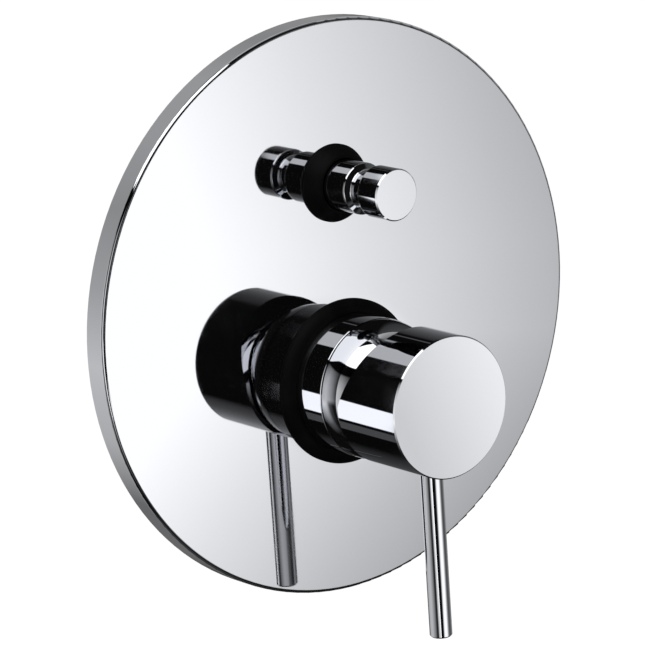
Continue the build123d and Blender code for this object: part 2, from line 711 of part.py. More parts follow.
with BuildPart() as mixer_body:
    with Locations(across(-barrel_back_depth, mixer_z)):
        Cylinder(barrel_radius, barrel_back_depth + barrel_front_out, align=from_plane)
        Cylinder(body_collar_radius, barrel_back_depth + body_collar_front, align=from_plane)
    with Locations(across(-duct_depth, diverter_z)):
        Cylinder(diverter_barrel_radius, duct_depth - diverter_front_depth, align=from_plane)
    with Locations(sideways(-inlet_reach, -inlet_depth, mixer_z)):
        Cylinder(inlet_passage_radius + casting_wall, 2 * inlet_reach, align=from_plane)
    fillet(mixer_body.edges().filter_by(GeomType.BSPLINE), casting_fillet)
    with Locations(upright(mixer_z, -supply_depth)):
        Cylinder(supply_radius + casting_wall, diverter_z - mixer_z, align=from_plane)
    with Locations(upright(diverter_z, -window_depth)):
        Cylinder(upper_arm_radius, upper_outlet_reach - diverter_z, align=from_plane)
    duct(duct_outer_radius, Vector(0, duct_depth, diverter_z), bend_top, Mode.ADD)
    duct(duct_outer_radius, bend_top, bend_foot, Mode.ADD)
    for plane in port_planes:
        extrude(port_hexagon(plane), amount=-port_hexagon_length)
        turning_axis = Axis(plane.origin, plane.z_dir)
        revolve(port_corner_ring(plane), axis=turning_axis, mode=Mode.SUBTRACT)
    with BuildSketch(across(-body_back_depth, lug_z)):
        SlotCenterToCenter(lug_spacing, lug_width)
    extrude(amount=lug_thickness)

    # Mixer chamber, its thread and its ports
    with Locations(across(floor_out, mixer_z)):
        Cylinder(chamber_radius, body_collar_front - floor_out, align=from_plane, mode=Mode.SUBTRACT)
    with Locations(across(shoulder_out - loose_clearance, mixer_z)):
        Cylinder(body_thread_radius, body_collar_front, align=from_plane, mode=Mode.SUBTRACT)
    with Locations(across(floor_out, mixer_z)):
        with base_peg_places():
            Cylinder(
                base_peg_diameter / 2 + fit_clearance, base_peg_length, align=to_plane, mode=Mode.SUBTRACT
            )
    for x, z, radius in ports[:2]:
        with Locations(across(-inlet_depth, mixer_z + z, x)):
            Cylinder(radius, inlet_depth - floor_depth, align=from_plane, mode=Mode.SUBTRACT)
    with Locations(across(-supply_depth, mixer_z + outlet_port_rise)):
        Cylinder(outlet_port_radius, supply_depth - floor_depth, align=from_plane, mode=Mode.SUBTRACT)
    with BuildSketch(section(mixer_z)):
        with BuildLine():
            Polyline(
                (sleeve_groove_radius, sleeve_ring_out - o_ring_section / 2),
                (body_collar_radius, sleeve_ring_out - o_ring_section / 2),
                (body_collar_radius, sleeve_ring_out + o_ring_section / 2),
                (sleeve_groove_radius, sleeve_ring_out + o_ring_section / 2),
                close=True,
            )
        make_face()
    revolve(axis=turning(mixer_z), mode=Mode.SUBTRACT)

    # Inlets, kept apart by the wall round the mixed outlet
    passage_length = inlet_reach - inlet_passage_gap / 2
    with Locations(sideways(inlet_passage_gap / 2, -inlet_depth, mixer_z)):
        Cylinder(inlet_passage_radius, passage_length, align=from_plane, mode=Mode.SUBTRACT)
    with Locations(sideways(-inlet_reach, -inlet_depth, mixer_z)):
        Cylinder(inlet_passage_radius, passage_length, align=from_plane, mode=Mode.SUBTRACT)

    # Supply to the diverter, its chamber and both outlets
    with Locations(upright(mixer_z, -supply_depth)):
        Cylinder(supply_radius, diverter_z - mixer_z, align=from_plane, mode=Mode.SUBTRACT)
    with Locations(across(-seat_front_depth, diverter_z)):
        Cylinder(bonnet_bore_radius, bonnet_thread_length, align=from_plane, mode=Mode.SUBTRACT)
    with Locations(across(-seat_rear_depth, diverter_z)):
        Cylinder(seat_pocket_radius, seat_sleeve_length, align=from_plane, mode=Mode.SUBTRACT)
    with Locations(across(-back_seat_depth, diverter_z)):
        Cylinder(valve_room_radius, valve_room_length, align=from_plane, mode=Mode.SUBTRACT)
    with Locations(across(-duct_depth, diverter_z)):
        Cylinder(seat_hole_radius, duct_depth - back_seat_depth, align=from_plane, mode=Mode.SUBTRACT)
    with Locations(upright(diverter_z, -window_depth)):
        Cylinder(
            upper_passage_radius, upper_outlet_reach - diverter_z, align=from_plane, mode=Mode.SUBTRACT
        )
    duct(duct_radius, Vector(0, duct_depth, diverter_z), bend_top, Mode.SUBTRACT)
    duct(duct_radius, bend_top, bend_foot, Mode.SUBTRACT)

    # Threaded bores of the four ports, and the holes of the lugs
    with Locations(*port_planes):
        Cylinder(port_bore_radius, port_bore_length, align=to_plane, mode=Mode.SUBTRACT)
    with BuildSketch(across(-body_back_depth, lug_z)):
        with GridLocations(lug_spacing, 0, 2, 1):
            Circle(lug_hole_diameter / 2)
    extrude(amount=lug_thickness, mode=Mode.SUBTRACT)
save(mixer_body, "mixer_body")


# O-ring: a round section turned about an axis
def o_ring(section_diameter, centre_radius, out, axis_z):
    with BuildSketch(section(axis_z)) as round_section:
        with Locations((centre_radius, out)):
            Circle(section_diameter / 2)
    return round_section.sketch


with BuildPart() as sleeve_o_ring:
    ring_centre = sleeve_groove_radius + o_ring_section / 2
    revolve(o_ring(o_ring_section, ring_centre, sleeve_ring_out, mixer_z), axis=turning(mixer_z))
save(sleeve_o_ring, "sleeve_o_ring")

# Seat sleeve: clamped by the bonnet, with the front valve seat and windows to the upper outlet
with BuildPart() as seat_sleeve:
    with Locations(across(-seat_rear_depth, diverter_z)):
        Cylinder(seat_sleeve_radius, seat_sleeve_length, align=from_plane)
        Cylinder(seat_hole_radius, seat_sleeve_length, align=from_plane, mode=Mode.SUBTRACT)
    with Locations(across(seat_lip - seat_rear_depth, diverter_z)):
        Cylinder(
            seat_sleeve_radius - seat_sleeve_wall,
            seat_sleeve_length - seat_lip,
            align=from_plane,
            mode=Mode.SUBTRACT,
        )
    with Locations(upright(diverter_z, -window_depth)):
        Cylinder(window_radius, 2 * seat_sleeve_radius, mode=Mode.SUBTRACT)
save(seat_sleeve, "seat_sleeve")

# Bonnet: hexagon flange, thread into the body and a nose that guides spindle and knob
diverter_spindle_radius = diverter_spindle_diameter / 2
nose_radius = diverter_spindle_radius + bonnet_wall
spindle_ring_radius = diverter_spindle_radius + face_clearance + spindle_ring_section / 2
bonnet_middle_depth = (bonnet_flange_front + seat_front_depth) / 2
spindle_ring_outs = [
    -bonnet_middle_depth - spindle_ring_pitch / 2,
    -bonnet_middle_depth + spindle_ring_pitch / 2,
]
with BuildPart() as diverter_bonnet:
    with Locations(across(-seat_front_depth, diverter_z)):
        Cylinder(bonnet_thread_radius, seat_front_depth - bonnet_flange_rear, align=from_plane)
    with BuildSketch(across(-bonnet_flange_rear, diverter_z)):
        RegularPolygon(bonnet_flats / 2, 6, major_radius=False)
    extrude(amount=bonnet_flange)
    with Locations(across(-bonnet_flange_front, diverter_z)):
        Cylinder(nose_radius, nose_length, align=from_plane)
    with Locations(across(-seat_front_depth, diverter_z)):
        Cylinder(
            diverter_spindle_radius + fit_clearance,
            seat_front_depth + nose_front_out,
            align=from_plane,
            mode=Mode.SUBTRACT,
        )
    groove_radius = spindle_ring_radius + spindle_ring_section / 2 + fit_clearance
    groove_length = spindle_ring_section + 2 * face_clearance
    for ring_out in spindle_ring_outs:
        with Locations(across(ring_out, diverter_z)):
            Cylinder(groove_radius, groove_length, mode=Mode.SUBTRACT)
save(diverter_bonnet, "diverter_bonnet")

with BuildPart() as spindle_o_rings:
    for ring_out in spindle_ring_outs:
        revolve(
            o_ring(spindle_ring_section, spindle_ring_radius, ring_out, diverter_z),
            axis=turning(diverter_z),
        )
save(spindle_o_rings, "spindle_o_rings")

with BuildPart() as bonnet_seal:
    with BuildSketch(across(-diverter_front_depth, diverter_z)):
        Circle(bonnet_flats / 2)
        Circle(bonnet_bore_radius, mode=Mode.SUBTRACT)
    extrude(amount=bonnet_seal_thickness)
save(bonnet_seal, "bonnet_seal")

# Valve stack on the spindle's tail, against the back seat when the knob is in
valve_rear_depth = back_seat_depth - face_clearance
valve_stack = valve_thickness + 2 * washer_thickness
valve_front_depth = valve_rear_depth - valve_stack
tail_radius = spindle_tail_diameter / 2
tail_hole_radius = tail_radius + fit_clearance
knob_bore_end = nose_front_out + knob_rear_gap
spindle_front_out = knob_bore_end + knob_thread_length

with BuildPart() as diverter_spindle:
    with Locations(across(-valve_front_depth, diverter_z)):
        Cylinder(
            diverter_spindle_radius, valve_front_depth + spindle_front_out, align=from_plane
        )
        Cylinder(tail_radius, valve_stack + valve_nut_thickness, align=to_plane)
save(diverter_spindle, "diverter_spindle")

with BuildPart() as diverter_valve:
    with BuildSketch(across(washer_thickness - valve_rear_depth, diverter_z)):
        Circle(valve_radius)
        Circle(tail_hole_radius, mode=Mode.SUBTRACT)
    extrude(amount=valve_thickness)
save(diverter_valve, "diverter_valve")

with BuildPart() as valve_washers:
    for washer_out in (-valve_rear_depth, washer_thickness + valve_thickness - valve_rear_depth):
        with BuildSketch(across(washer_out, diverter_z)):
            Circle(valve_radius)
            Circle(tail_hole_radius, mode=Mode.SUBTRACT)
        extrude(amount=washer_thickness)
save(valve_washers, "valve_washers")

with BuildPart() as valve_nut:
    with BuildSketch(across(-valve_rear_depth, diverter_z)):
        RegularPolygon(valve_nut_flats / 2, 6, major_radius=False)
        Circle(tail_hole_radius, mode=Mode.SUBTRACT)
    extrude(amount=-valve_nut_thickness)
save(valve_nut, "valve_nut")

# Return spring round the spindle, between the bonnet and the valve
with BuildPart() as diverter_spring:
    spring_length = valve_front_depth - seat_front_depth - spring_wire - 2 * face_clearance
    spring_start = spring_wire / 2 + face_clearance - valve_front_depth
    with BuildLine() as coil:
        Helix(
            spring_length / spring_turns,
            spring_length,
            spring_radius,
            center=(0, -spring_start, diverter_z),
            direction=(0, -1, 0),
        )
    with BuildSketch(Plane(origin=coil.line @ 0, z_dir=coil.line % 0)):
        Circle(spring_wire / 2)
    sweep(is_frenet=True)
save(diverter_spring, "diverter_spring")

# Knob: turned, with a finger groove between steep flanks, hollow over the bonnet's nose
with BuildPart() as diverter_knob:
    with Locations(across(knob_rear_out, diverter_z)):
        Cylinder(diverter_knob_radius, knob_front_out - knob_rear_out, align=from_plane)
    chamfer(diverter_knob.edges().sort_by(Axis.Y)[0], knob_bevel)
    groove_rear = plate_depth + groove_start
    groove_front = groove_rear + groove_width
    groove_floor_radius = diverter_knob_radius - groove_depth
    with BuildSketch(section(diverter_z)):
        with BuildLine():
            Polyline(
                (diverter_knob_radius, groove_rear),
                (groove_floor_radius, groove_rear + groove_flank),
                (groove_floor_radius, groove_front - groove_flank),
                (diverter_knob_radius, groove_front),
                close=True,
            )
        make_face()
    revolve(axis=turning(diverter_z), mode=Mode.SUBTRACT)
    groove_edges = diverter_knob.edges().filter_by_position(
        Axis.Y, -groove_front - face_clearance, -groove_rear + face_clearance
    )
    fillet(groove_edges.filter_by(GeomType.CIRCLE), groove_edge_radius)
    with Locations(across(knob_rear_out, diverter_z)):
        Cylinder(
            diverter_knob_radius - knob_wall,
            knob_bore_end - knob_rear_out,
            align=from_plane,
            mode=Mode.SUBTRACT,
        )
    with Locations(across(knob_bore_end, diverter_z)):
        Cylinder(
            diverter_spindle_radius + fit_clearance,
            knob_thread_length + face_clearance,
            align=from_plane,
            mode=Mode.SUBTRACT,
        )
save(diverter_knob, "diverter_knob")
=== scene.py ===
import json
from math import atan, cos, radians, sin, tau
import bpy
import bmesh
from mathutils import Matrix, Vector


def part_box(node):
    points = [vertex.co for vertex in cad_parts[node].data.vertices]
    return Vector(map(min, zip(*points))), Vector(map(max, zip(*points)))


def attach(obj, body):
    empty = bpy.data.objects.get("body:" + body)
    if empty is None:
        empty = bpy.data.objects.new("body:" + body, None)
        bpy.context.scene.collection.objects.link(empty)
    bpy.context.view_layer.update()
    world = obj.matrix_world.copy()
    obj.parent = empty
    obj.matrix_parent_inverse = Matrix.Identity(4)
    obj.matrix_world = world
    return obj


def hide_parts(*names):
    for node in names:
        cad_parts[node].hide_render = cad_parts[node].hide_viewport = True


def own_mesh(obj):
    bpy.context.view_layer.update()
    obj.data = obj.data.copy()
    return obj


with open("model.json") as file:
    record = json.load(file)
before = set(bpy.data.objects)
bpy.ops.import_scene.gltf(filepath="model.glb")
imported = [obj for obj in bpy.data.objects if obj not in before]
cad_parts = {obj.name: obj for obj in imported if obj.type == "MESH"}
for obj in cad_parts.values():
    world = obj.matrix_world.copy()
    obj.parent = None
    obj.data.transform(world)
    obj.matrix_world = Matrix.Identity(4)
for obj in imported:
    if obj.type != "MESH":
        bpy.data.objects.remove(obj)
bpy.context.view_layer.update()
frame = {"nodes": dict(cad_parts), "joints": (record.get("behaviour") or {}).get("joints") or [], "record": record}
nodes = frame["nodes"]
scene = bpy.context.scene
scene.view_settings.view_transform = "Standard"
print("frame loaded:", len(nodes), "pieces")

# the four ports: the way each faces, the middle of its mouth and its radius
millimetre = 0.001
ports = []
for mount in frame["record"]["mounts"]:
    if mount["kind"] == "threaded_hole":
        way = Vector(mount["axis"])
        mouth = Vector(mount["pos_m"]) + way * (mount["dims"]["length_mm"] * millimetre / 2)
        ports.append({"way": way, "mouth": mouth, "radius": mount["dims"]["r_mm"] * millimetre})


# shader maths: a socket that can be added, multiplied and so on
class Wire:
    def __init__(self, tree, socket):
        self.tree = tree
        self.socket = socket

    # another output of the same node
    def sibling(self, key):
        return Wire(self.tree, self.socket.node.outputs[key])

    def math(self, operation, first, second):
        node = self.tree.nodes.new("ShaderNodeMath")
        node.operation = operation
        plug(self.tree, node.inputs[0], first)
        plug(self.tree, node.inputs[1], second)
        return Wire(self.tree, node.outputs[0])

    def __add__(self, other):
        return self.math("ADD", self, other)

    def __radd__(self, other):
        return self.math("ADD", other, self)

    def __sub__(self, other):
        return self.math("SUBTRACT", self, other)

    def __rsub__(self, other):
        return self.math("SUBTRACT", other, self)

    def __mul__(self, other):
        return self.math("MULTIPLY", self, other)

    def __rmul__(self, other):
        return self.math("MULTIPLY", other, self)

    def __truediv__(self, other):
        return self.math("DIVIDE", self, other)

    def __pow__(self, other):
        return self.math("POWER", self, other)

    def __gt__(self, other):
        return self.math("GREATER_THAN", self, other)

    def __lt__(self, other):
        return self.math("LESS_THAN", self, other)


def plug(tree, socket, value):
    if isinstance(value, Wire):
        tree.links.new(value.socket, socket)
    else:
        socket.default_value = value


# the first where the mask is 0, the second where it is 1
def mixed(first, mask, second):
    return first * (1 - mask) + mask * second


# a ramp's stops, each a place from 0 to 1 and a level
def setStops(elements, stops):
    while len(elements) < len(stops):
        elements.new(1.0)
    for element, (place, level) in zip(elements, stops):
        element.position = place
        element.color = (level, level, level, 1)


class Board:
    def __init__(self, tree):
        self.tree = tree

    # any node: its type, its settings, the values or links of its sockets, and the output that is wanted
    def node(self, kind, settings=None, sockets=None, out=0):
        node = self.tree.nodes.new(kind)
        for key, value in (settings or {}).items():
            if key == "stops":
                setStops(node.color_ramp.elements, value)
            else:
                setattr(node, key, value)
        for key, value in (sockets or {}).items():
            plug(self.tree, node.inputs[key], value)
        return Wire(self.tree, node.outputs[out]) if node.outputs else node

    # a Math node for what has no operator
    def math(self, operation, *values):
        return self.node("ShaderNodeMath", {"operation": operation}, dict(enumerate(values)))


class Finish(Board):
    def __init__(self, name, owner=None):
        self.owner = owner or bpy.data.materials.new(name)
        self.owner.use_nodes = True
        super().__init__(self.owner.node_tree)
        self.tree.nodes.clear()

    def place(self):
        return self.node("ShaderNodeTexCoord", out="Object")

    def axes(self, vector):
        parts = self.node("ShaderNodeSeparateXYZ", sockets={0: vector})
        return [parts.sibling(axis) for axis in range(3)]

    def noise(self, vector, scale, detail=2.0, roughness=0.5):
        sockets = {"Vector": vector, "Scale": scale, "Detail": detail, "Roughness": roughness}
        return self.node("ShaderNodeTexNoise", sockets=sockets)

    # a soft step from 0 to 1
    def ease(self, value, low, high):
        sockets = {"Value": value, "From Min": low, "From Max": high}
        return self.node("ShaderNodeMapRange", {"interpolation_type": "SMOOTHSTEP"}, sockets)

    # a Mix node takes its colours at sockets 6 and 7, and its vectors at 4 and 5
    def blend(self, factor, first, second):
        sockets = {"Factor": factor, 6: first, 7: second}
        return self.node("ShaderNodeMix", {"data_type": "RGBA"}, sockets, out=2)

    def unit(self, vector):
        return self.node("ShaderNodeVectorMath", {"operation": "NORMALIZE"}, {0: vector})

    def bump(self, height, distance, strength=1.0, normal=None):
        sockets = {"Height": height, "Distance": distance, "Strength": strength}
        if normal:
            sockets["Normal"] = normal
        return self.node("ShaderNodeBump", sockets=sockets)

    # the exact normal of a turned form where the mask is 1, the mesh's own elsewhere
    def trueNormal(self, mask, x, y, z):
        exact = self.node("ShaderNodeCombineXYZ", sockets={0: x, 1: y, 2: z})
        settings = {"vector_type": "NORMAL", "convert_from": "OBJECT", "convert_to": "WORLD"}
        exact = self.node("ShaderNodeVectorTransform", settings, {0: exact})
        own = self.node("ShaderNodeNewGeometry", out="Normal")
        sockets = {"Factor": mask, 4: own, 5: exact}
        return self.unit(self.node("ShaderNodeMix", {"data_type": "VECTOR"}, sockets, out=1))

    def surface(self, sockets):
        shader = self.node("ShaderNodeBsdfPrincipled", sockets=sockets)
        self.node("ShaderNodeOutputMaterial", sockets={"Surface": shader})
        return self.owner


def wear(material, pieces):
    for piece in pieces:
        mesh = nodes[piece].data
        mesh.materials.clear()
        mesh.materials.append(material)


# polished chrome: a hard bright plating with faint polishing haze
chromeLook = {
    "colour": (0.600, 0.607, 0.632, 1),
    "roughness": 0.025,
    "haze": 0.03,
    "hazeScale": 55.0,
    "hazeBand": (0.45, 0.8),
    "wave": 0.00002,
    "waveScale": 16.0,
}


def polishHaze(finish, place):
    return finish.noise(place, chromeLook["hazeScale"], detail=4.0, roughness=0.6)


# dress, where a piece has one, changes the sockets to suit its own form
def makeChrome(name, dress=None):
    look = chromeLook
    finish = Finish(name)
    place = finish.place()
    haze = finish.ease(polishHaze(finish, place), *look["hazeBand"])
    sockets = {
        "Base Color": look["colour"],
        "Metallic": 1.0,
        "Roughness": look["roughness"] + haze * look["haze"],
    }
    if dress:
        dress(finish, place, sockets)
    wave = finish.noise(place, look["waveScale"], detail=1.0)
    sockets["Normal"] = finish.bump(wave, look["wave"], normal=sockets.get("Normal"))
    return finish.surface(sockets)


# the plate is dull inside, where the polish ends, and its rounded edge takes exact normals
plateLook = {
    "dull": (0.36, 0.36, 0.37, 1),
    "roughness": 0.34,
    "hazeRoughness": 0.15,
    "lineRoughness": 0.05,
    "lineScale": 420.0,  # turned lines to the metre
    "polish": 0.0014,  # how far in from the outside the polish goes
    "rounding": 0.0012,
}


def dressPlate(finish, place, sockets):
    look = plateLook
    low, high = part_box("wall_plate")
    outer = max(high.x, high.z)
    face = low.y
    x, y, z = finish.axes(place)
    radius = (x * x + z * z) ** 0.5
    lines = finish.math("SINE", radius * (tau * look["lineScale"]))
    inside = (radius < outer - look["polish"]) * (y > face + look["polish"])
    haze = polishHaze(finish, place)
    dullRoughness = look["roughness"] + haze * look["hazeRoughness"] + lines * look["lineRoughness"]
    sockets["Base Color"] = finish.blend(inside, sockets["Base Color"], look["dull"])
    sockets["Roughness"] = mixed(sockets["Roughness"], inside, dullRoughness)
    middle = outer - look["rounding"]
    start = face + look["rounding"]
    share = (radius - middle) / radius
    edge = (radius > middle) * (y < start)
    sockets["Normal"] = finish.trueNormal(edge, x * share, y - start, z * share)


# the lever's round side, from just under the handle to the rounding of its end
leverLook = {"handleGap": 0.0016, "endRounding": 0.0013}


def dressLever(finish, place, sockets):
    low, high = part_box("lever")
    middle = (low.y + high.y) / 2
    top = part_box("handle")[0].z - leverLook["handleGap"]
    bottom = low.z + leverLook["endRounding"]
    x, y, z = finish.axes(place)
    side = (z < top) * (z > bottom)
    sockets["Normal"] = finish.trueNormal(side, x, y - middle, 0.0)


wear(makeChrome("polishedChrome"), ["sleeve", "dome_cap", "handle", "diverter_knob"])
wear(makeChrome("plateChrome", dressPlate), ["wall_plate"])
wear(makeChrome("leverChrome", dressLever), ["lever"])
print("chrome done")

# black rubber of the collars: matte, with a fine moulded grain
rubberLook = {
    "colour": (0.0012, 0.0012, 0.0014, 1),
    "bloom": (0.0026, 0.0026, 0.0030, 1),
    "bloomBand": (0.4, 0.75),
    "patchScale": 90.0,
    "roughness": 0.42,
    "patchRoughness": 0.25,
    "specular": 0.07,
    "grainScale": 4200.0,
    "grainDepth": 0.00003,
    "grainStrength": 0.5,
}

# the seals' rubber is greyer and a little coarser
sealLook = {
    **rubberLook,
    "colour": (0.022, 0.022, 0.024, 1),
    "bloom": (0.05, 0.05, 0.052, 1),
    "specular": 0.3,
    "grainScale": 3000.0,
}


def makeRubber(name, look):
    finish = Finish(name)
    place = finish.place()
    patch = finish.noise(place, look["patchScale"], detail=3.0)
    grain = finish.noise(place, look["grainScale"])
    bloom = finish.ease(patch, *look["bloomBand"])
    return finish.surface({
        "Base Color": finish.blend(bloom, look["colour"], look["bloom"]),
        "Roughness": look["roughness"] + patch * look["patchRoughness"],
        "Normal": finish.bump(grain, look["grainDepth"], look["grainStrength"]),
        "Specular IOR Level": look["specular"],
    })


wear(makeRubber("collarRubber", rubberLook), ["mixer_gasket", "diverter_gasket"])
wear(
    makeRubber("sealRubber", sealLook),
    ["base_seals", "sleeve_o_ring", "spindle_o_rings", "valve_washers", "bonnet_seal"],
)

# closed-cell foam behind the rim
foamLook = {
    "colour": (0.045, 0.045, 0.048, 1),
    "cell": (0.11, 0.11, 0.115, 1),
    "cellBand": (0.1, 0.7),
    "cellScale": 900.0,
    "cellDepth": 0.0004,
    "cellStrength": 0.7,
    "roughness": 0.95,
}


def makeFoam():
    look = foamLook
    finish = Finish("foam")
    sockets = {"Vector": finish.place(), "Scale": look["cellScale"]}
    cells = finish.node("ShaderNodeTexVoronoi", {"feature": "F1"}, sockets)
    return finish.surface({
        "Base Color": finish.blend(finish.ease(cells, *look["cellBand"]), look["colour"], look["cell"]),
        "Roughness": look["roughness"],
        "Normal": finish.bump(cells, look["cellDepth"], look["cellStrength"]),
    })


wear(makeFoam(), ["plate_seal"])

# sand-cast brass body: dull skin with a sandy grain and a little tarnish; the port ends are machined bright
castLook = {
    "fresh": (0.66, 0.50, 0.25, 1),
    "dull": (0.40, 0.29, 0.14, 1),
    "roughness": 0.38,
    "tarnishScale": 38.0,
    "tarnishBand": (0.35, 0.7),
    "tarnishRoughness": 0.1,
    "sandScale": 900.0,
    "sandDepth": 0.00025,
    "sandStrength": 0.6,
    "sandRoughness": 0.2,
    "machined": (0.78, 0.61, 0.32, 1),
    "machinedRoughness": 0.2,
    "endLength": 0.0153,  # machined this far back from a port's mouth
    "toolScale": 1900.0,
    "toolHeight": 0.06,  # of the sand's
    "toolRoughness": 0.12,
}


def makeCastBrass():
    look = castLook
    finish = Finish("castBrass")
    place = finish.place()
    sand = finish.noise(place, look["sandScale"], detail=3.0, roughness=0.65)
    tarnish = finish.noise(place, look["tarnishScale"], detail=4.0, roughness=0.6)
    tool = finish.noise(place, look["toolScale"], detail=1.0)
    ends = 0.0
    for port in ports:
        sockets = {0: place, 1: port["way"]}
        along = finish.node("ShaderNodeVectorMath", {"operation": "DOT_PRODUCT"}, sockets, "Value")
        ends = ends + (along > port["mouth"].dot(port["way"]) - look["endLength"])
    skin = finish.blend(finish.ease(tarnish, *look["tarnishBand"]), look["fresh"], look["dull"])
    skinRoughness = look["roughness"] + sand * look["sandRoughness"] + tarnish * look["tarnishRoughness"]
    endRoughness = look["machinedRoughness"] + tool * look["toolRoughness"]
    relief = mixed(sand, ends, tool * look["toolHeight"])
    return finish.surface({
        "Base Color": finish.blend(ends, skin, finish.blend(tool, look["machined"], look["fresh"])),
        "Metallic": 1.0,
        "Roughness": mixed(skinRoughness, ends, endRoughness),
        "Normal": finish.bump(relief, look["sandDepth"], look["sandStrength"]),
    })


castBrass = makeCastBrass()
wear(castBrass, ["mixer_body"])

# turned brass: fine tool rings
turnedLook = {
    "colour": (0.74, 0.57, 0.29, 1),
    "stain": (0.55, 0.40, 0.18, 1),
    "stainScale": 60.0,
    "stainBand": (0.45, 0.8),
    "stainRoughness": 0.15,
    "roughness": 0.2,
    "ringPitch": 0.00035,
    "ringDepth": 0.00001,
    "ringStrength": 0.6,
    "jitter": 3.0,
    "jitterScale": 400.0,
}

# bright steel, with finer rings
steelLook = {
    **turnedLook,
    "colour": (0.58, 0.58, 0.59, 1),
    "stain": (0.45, 0.45, 0.46, 1),
    "roughness": 0.22,
    "ringPitch": 0.0003,
    "ringDepth": 0.000008,
}


def makeTurned(name, look):
    finish = Finish(name)
    place = finish.place()
    depth = finish.axes(place)[1]
    jitter = finish.noise(place, look["jitterScale"])
    rings = finish.math("SINE", depth * (tau / look["ringPitch"]) + jitter * look["jitter"])
    stain = finish.noise(place, look["stainScale"], detail=3.0)
    return finish.surface({
        "Base Color": finish.blend(finish.ease(stain, *look["stainBand"]), look["colour"], look["stain"]),
        "Metallic": 1.0,
        "Roughness": look["roughness"] + stain * look["stainRoughness"],
        "Normal": finish.bump(rings, look["ringDepth"], look["ringStrength"]),
    })


wear(
    makeTurned("turnedBrass", turnedLook),
    ["cartridge_nut", "diverter_bonnet", "diverter_spindle", "diverter_valve", "valve_nut", "seat_sleeve"],
)
steel = makeTurned("steel", steelLook)
wear(steel, ["lever_spindle", "spindle_pin", "grub_screw", "diverter_spring"])

# moulded plastics of the cartridge
plasticLook = {
    "white": (0.80, 0.80, 0.77, 1),
    "grey": (0.26, 0.27, 0.29, 1),
    "flowScale": 70.0,
    "flowShade": 0.86,
    "roughness": 0.4,
    "grainRoughness": 0.15,
    "grainScale": 2200.0,
    "grainDepth": 0.00002,
    "grainStrength": 0.5,
}


def makePlastic(name, colour):
    look = plasticLook
    finish = Finish(name)
    place = finish.place()
    flow = finish.noise(place, look["flowScale"])
    grain = finish.noise(place, look["grainScale"])
    darker = [part * look["flowShade"] for part in colour[:3]] + [1]
    return finish.surface({
        "Base Color": finish.blend(flow, colour, darker),
        "Roughness": look["roughness"] + grain * look["grainRoughness"],
        "Normal": finish.bump(grain, look["grainDepth"], look["grainStrength"]),
    })


wear(makePlastic("whitePlastic", plasticLook["white"]), ["cartridge_housing", "cartridge_base"])
wear(makePlastic("greyPlastic", plasticLook["grey"]), ["spindle_collar", "disc_carrier"])

# lapped ceramic discs
ceramicLook = {
    "colour": (0.88, 0.86, 0.81, 1),
    "fleck": (0.74, 0.72, 0.68, 1),
    "fleckScale": 2600.0,
    "fleckBand": (0.5, 0.75),
    "roughness": 0.16,
    "fleckRoughness": 0.1,
}


def makeCeramic():
    look = ceramicLook
    finish = Finish("ceramic")
    fleck = finish.noise(finish.place(), look["fleckScale"], detail=3.0)
    return finish.surface({
        "Base Color": finish.blend(finish.ease(fleck, *look["fleckBand"]), look["colour"], look["fleck"]),
        "Roughness": look["roughness"] + fleck * look["fleckRoughness"],
    })


wear(makeCeramic(), ["fixed_disc", "moving_disc"])
print("other finishes done")


# a coil of round section, set on each place and turned to the way it faces
def coilTree():
    tree = bpy.data.node_groups.new("coils", "GeometryNodeTree")
    given = {
        "Places": "NodeSocketGeometry",
        "Turns": "NodeSocketFloat",
        "Length": "NodeSocketFloat",
        "Radius": "NodeSocketFloat",
        "Section": "NodeSocketFloat",
        "Sides": "NodeSocketInt",
        "Steps": "NodeSocketInt",
        "Material": "NodeSocketMaterial",
    }
    for name, kind in given.items():
        tree.interface.new_socket(name, in_out="INPUT", socket_type=kind)
    tree.interface.new_socket("Coils", in_out="OUTPUT", socket_type="NodeSocketGeometry")
    board = Board(tree)
    outputs = tree.nodes.new("NodeGroupInput").outputs
    wires = {name: Wire(tree, outputs[name]) for name in given}
    path = board.node("GeometryNodeCurveSpiral", None, {
        "Resolution": wires["Steps"],
        "Rotations": wires["Turns"],
        "Start Radius": wires["Radius"],
        "End Radius": wires["Radius"],
        "Height": wires["Length"],
    })
    path = board.node("GeometryNodeSetCurveNormal", {"mode": "Z_UP"}, {"Curve": path})
    section = board.node("GeometryNodeCurvePrimitiveCircle", None, {
        "Resolution": wires["Sides"],
        "Radius": wires["Section"],
    })
    coil = board.node("GeometryNodeCurveToMesh", None, {
        "Curve": path,
        "Profile Curve": section,
        "Fill Caps": True,
    })
    settings = {"data_type": "FLOAT_VECTOR"}
    facing = board.node("GeometryNodeInputNamedAttribute", settings, {"Name": "facing"})
    turned = board.node("FunctionNodeAlignRotationToVector", {"axis": "Z"}, {"Vector": facing})
    copies = board.node("GeometryNodeInstanceOnPoints", None, {
        "Points": wires["Places"],
        "Instance": coil,
        "Rotation": turned,
    })
    whole = board.node("GeometryNodeRealizeInstances", None, {"Geometry": copies})
    dressed = board.node("GeometryNodeSetMaterial", None, {
        "Geometry": whole,
        "Material": wires["Material"],
    })
    board.node("NodeGroupOutput", None, {"Coils": dressed})
    return tree


coils = coilTree()


